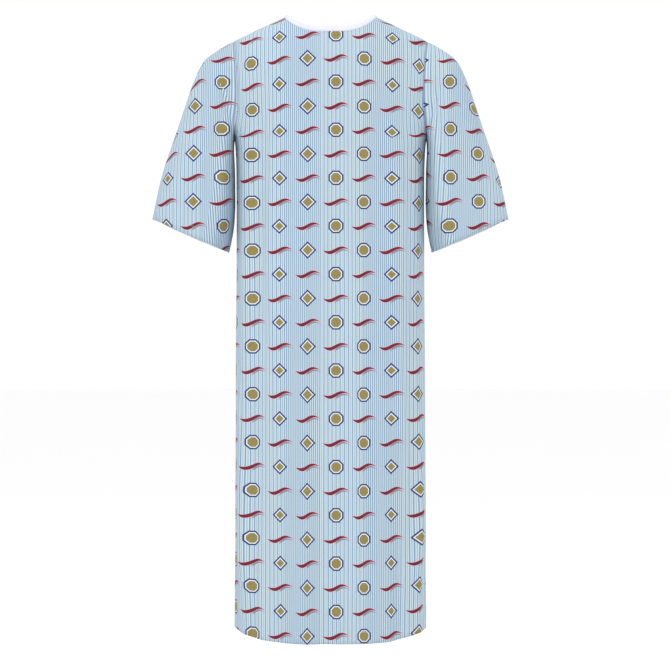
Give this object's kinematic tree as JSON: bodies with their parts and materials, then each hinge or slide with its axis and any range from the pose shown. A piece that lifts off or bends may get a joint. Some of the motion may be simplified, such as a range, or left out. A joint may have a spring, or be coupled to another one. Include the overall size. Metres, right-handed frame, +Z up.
{
  "type": "patient gown",
  "caption": "Short-sleeved printed patient gown that opens down the back, shown hanging as worn, with bound neckline, tie closures and swinging back panels.",
  "frame": {"origin": "centre of the neck opening, level with the two side neck points", "axes": "+Z up, -Y towards the front of the gown, +X towards the wearer's left"},
  "size_m": [0.696, 0.2498, 1.2005],
  "materials": {
    "printed_cloth": "matt woven cotton blend, pale blue pinstripe with a small repeating print",
    "binding_tape": "matt white folded tape",
    "tie_tape": "matt white woven tape",
    "label_tape": "satin woven label, blank"
  },
  "bodies": {
    "gown_body": {"front_panel": "printed_cloth", "front_hem": "printed_cloth", "neck_binding": "binding_tape", "care_label": "label_tape", "back_panel_left": "printed_cloth", "back_panel_right": "printed_cloth", "back_side_hem_left": "printed_cloth", "back_side_hem_right": "printed_cloth"},
    "left_sleeve": {"sleeve_left": "printed_cloth", "sleeve_hem_left": "printed_cloth"},
    "left_back_flap": {"back_flap_left": "printed_cloth", "back_flap_hem_left": "printed_cloth", "tie_patch_left": "tie_tape"},
    "left_neck_tie": {"neck_tie_left": "tie_tape"},
    "left_waist_tie": {"waist_tie_left": "tie_tape"},
    "right_sleeve": {"sleeve_right": "printed_cloth", "sleeve_hem_right": "printed_cloth"},
    "right_back_flap": {"back_flap_right": "printed_cloth", "back_flap_hem_right": "printed_cloth", "tie_patch_right": "tie_tape"},
    "right_neck_tie": {"neck_tie_right": "tie_tape"},
    "right_waist_tie": {"waist_tie_right": "tie_tape"}
  },
  "joints": [
    {"name": "left_sleeve_lift", "type": "hinge", "parent": "gown_body", "child": "left_sleeve", "pos_m": [0.1866, 0, -0.05], "axis": [0, -1, 0], "range_deg": [0, 25]},
    {"name": "left_back_open", "type": "hinge", "parent": "gown_body", "child": "left_back_flap", "pos_m": [0.15, 0.0835, -0.33], "axis": [0, 0, -1], "range_deg": [0, 80], "stiffness_Nm_per_rad": 0.03},
    {"name": "left_neck_tie_swing", "type": "hinge", "parent": "gown_body", "child": "left_neck_tie", "pos_m": [0.02, 0.0825, -0.036], "axis": [1, 0, 0], "range_deg": [0, 70]},
    {"name": "left_waist_tie_swing", "type": "hinge", "parent": "left_back_flap", "child": "left_waist_tie", "pos_m": [0.02, 0.1187, -0.47], "axis": [1, 0, 0], "range_deg": [0, 70]},
    {"name": "right_sleeve_lift", "type": "hinge", "parent": "gown_body", "child": "right_sleeve", "pos_m": [-0.1866, 0, -0.05], "axis": [0, 1, 0], "range_deg": [0, 25]},
    {"name": "right_back_open", "type": "hinge", "parent": "gown_body", "child": "right_back_flap", "pos_m": [-0.15, 0.0835, -0.33], "axis": [0, 0, 1], "range_deg": [0, 80], "stiffness_Nm_per_rad": 0.03},
    {"name": "right_neck_tie_swing", "type": "hinge", "parent": "gown_body", "child": "right_neck_tie", "pos_m": [-0.02, 0.0825, -0.036], "axis": [1, 0, 0], "range_deg": [0, 70]},
    {"name": "right_waist_tie_swing", "type": "hinge", "parent": "right_back_flap", "child": "right_waist_tie", "pos_m": [-0.02, 0.1187, -0.47], "axis": [1, 0, 0], "range_deg": [0, 70]}
  ]
}
